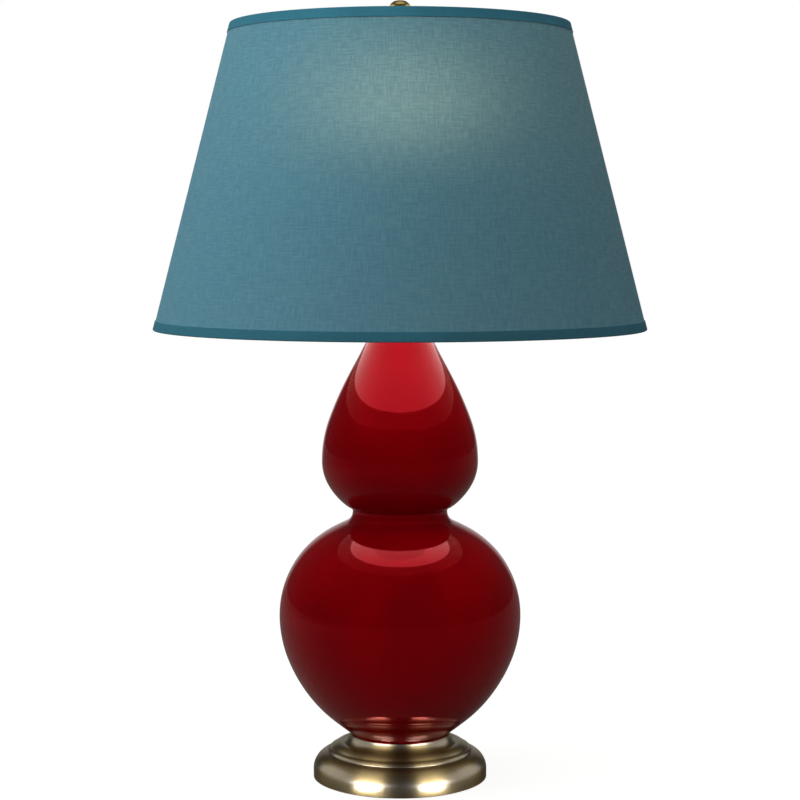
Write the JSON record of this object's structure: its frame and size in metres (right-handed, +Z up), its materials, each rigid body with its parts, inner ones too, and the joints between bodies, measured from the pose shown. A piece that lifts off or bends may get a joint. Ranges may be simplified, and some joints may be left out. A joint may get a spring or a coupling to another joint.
{
  "type": "table lamp",
  "caption": "Glazed double gourd table lamp on a turned brass foot, with a tapered cloth shade on a harp, a finial, a bulb and a switched lamp holder.",
  "frame": {"origin": "centre of the felt under the foot, on the surface that the lamp stands on", "axes": "+Z up along the lamp's axis, +Y towards the rear, where the cord inlet and the shade's seam are, -Y towards the viewer, +X to the viewer's right"},
  "size_m": [0.4839, 0.484, 0.7719],
  "materials": {
    "felt": "pressed wool felt",
    "antique_brass": "satin, antiqued and lacquered",
    "cast_iron": "as cast, black wash",
    "black_plastic": "moulded, matt",
    "zinc_steel": "zinc plated",
    "gasket_rubber": "die cut sheet",
    "red_glaze": "clear gloss over oxblood red",
    "harp_brass": "plated, polished",
    "holder_brass": "pressed, bright",
    "card": "vulcanised card",
    "aluminium": "rolled, bright",
    "opal_glass": "white coated inside",
    "teal_cloth": "plain woven, slubbed",
    "teal_trim": "bias-cut tape, smooth",
    "white_liner": "translucent white sheet",
    "white_wire": "white powder coat"
  },
  "bodies": {
    "stand": {"felt_pad": "felt", "base_shell": "antique_brass", "base_weight": "cast_iron", "cord_grommet": "black_plastic", "lamp_pipe": "zinc_steel", "bottom_washer": "zinc_steel", "bottom_nut": "zinc_steel", "base_gasket": "gasket_rubber", "ceramic_body": "red_glaze", "neck_gasket": "gasket_rubber", "vase_cap": "antique_brass", "neck_tube": "antique_brass", "harp_saddle": "harp_brass", "holder_cap": "holder_brass", "pipe_bushing": "black_plastic", "holder_shell": "holder_brass", "holder_sleeve": "card", "holder_core": "black_plastic", "screw_shell": "aluminium", "centre_contact": "holder_brass", "terminal_screws": "holder_brass"},
    "switch": {"switch_spindle": "holder_brass", "switch_knob": "black_plastic"},
    "bulb": {"bulb_glass": "opal_glass", "bulb_cap": "aluminium", "bulb_tip": "black_plastic"},
    "harp": {"harp_wire": "harp_brass", "harp_boss": "harp_brass"},
    "right_ferrule": {"ferrule_right": "harp_brass"},
    "left_ferrule": {"ferrule_left": "harp_brass"},
    "stud": {"harp_stud": "harp_brass"},
    "shade": {"shade_cover": "teal_cloth", "shade_liner": "white_liner", "top_trim": "teal_trim", "bottom_trim": "teal_trim", "shade_seam": "teal_trim", "top_ring": "white_wire", "bottom_ring": "white_wire", "spider_hub": "white_wire", "spider_arms": "white_wire"},
    "finial_knob": {"finial": "antique_brass"}
  },
  "joints": [
    {"name": "switch_turn", "type": "hinge", "parent": "stand", "child": "switch", "pos_m": [0, -0.025, 0.529], "axis": [0, -1, 0], "continuous": true},
    {"name": "bulb_out", "type": "slide", "parent": "stand", "child": "bulb", "axis": [0, 0, 1], "range_m": [0, 0.033]},
    {"name": "harp_lift", "type": "slide", "parent": "stand", "child": "harp", "axis": [0, 0, 1], "range_m": [0, 0.016]},
    {"name": "right_ferrule_slide", "type": "slide", "parent": "harp", "child": "right_ferrule", "axis": [0, 0, 1], "range_m": [0, 0.0145]},
    {"name": "left_ferrule_slide", "type": "slide", "parent": "harp", "child": "left_ferrule", "axis": [0, 0, 1], "range_m": [0, 0.0145]},
    {"name": "shade_swivel", "type": "hinge", "parent": "harp", "child": "stud", "pos_m": [0, 0, 0.726], "axis": [0, 0, 1], "continuous": true},
    {"name": "shade_lift", "type": "slide", "parent": "stud", "child": "shade", "axis": [0, 0, 1], "range_m": [0, 0.3]},
    {"name": "finial_turn", "type": "hinge", "parent": "shade", "child": "finial_knob", "pos_m": [0, 0, 0.75], "axis": [0, 0, 1], "continuous": true}
  ]
}
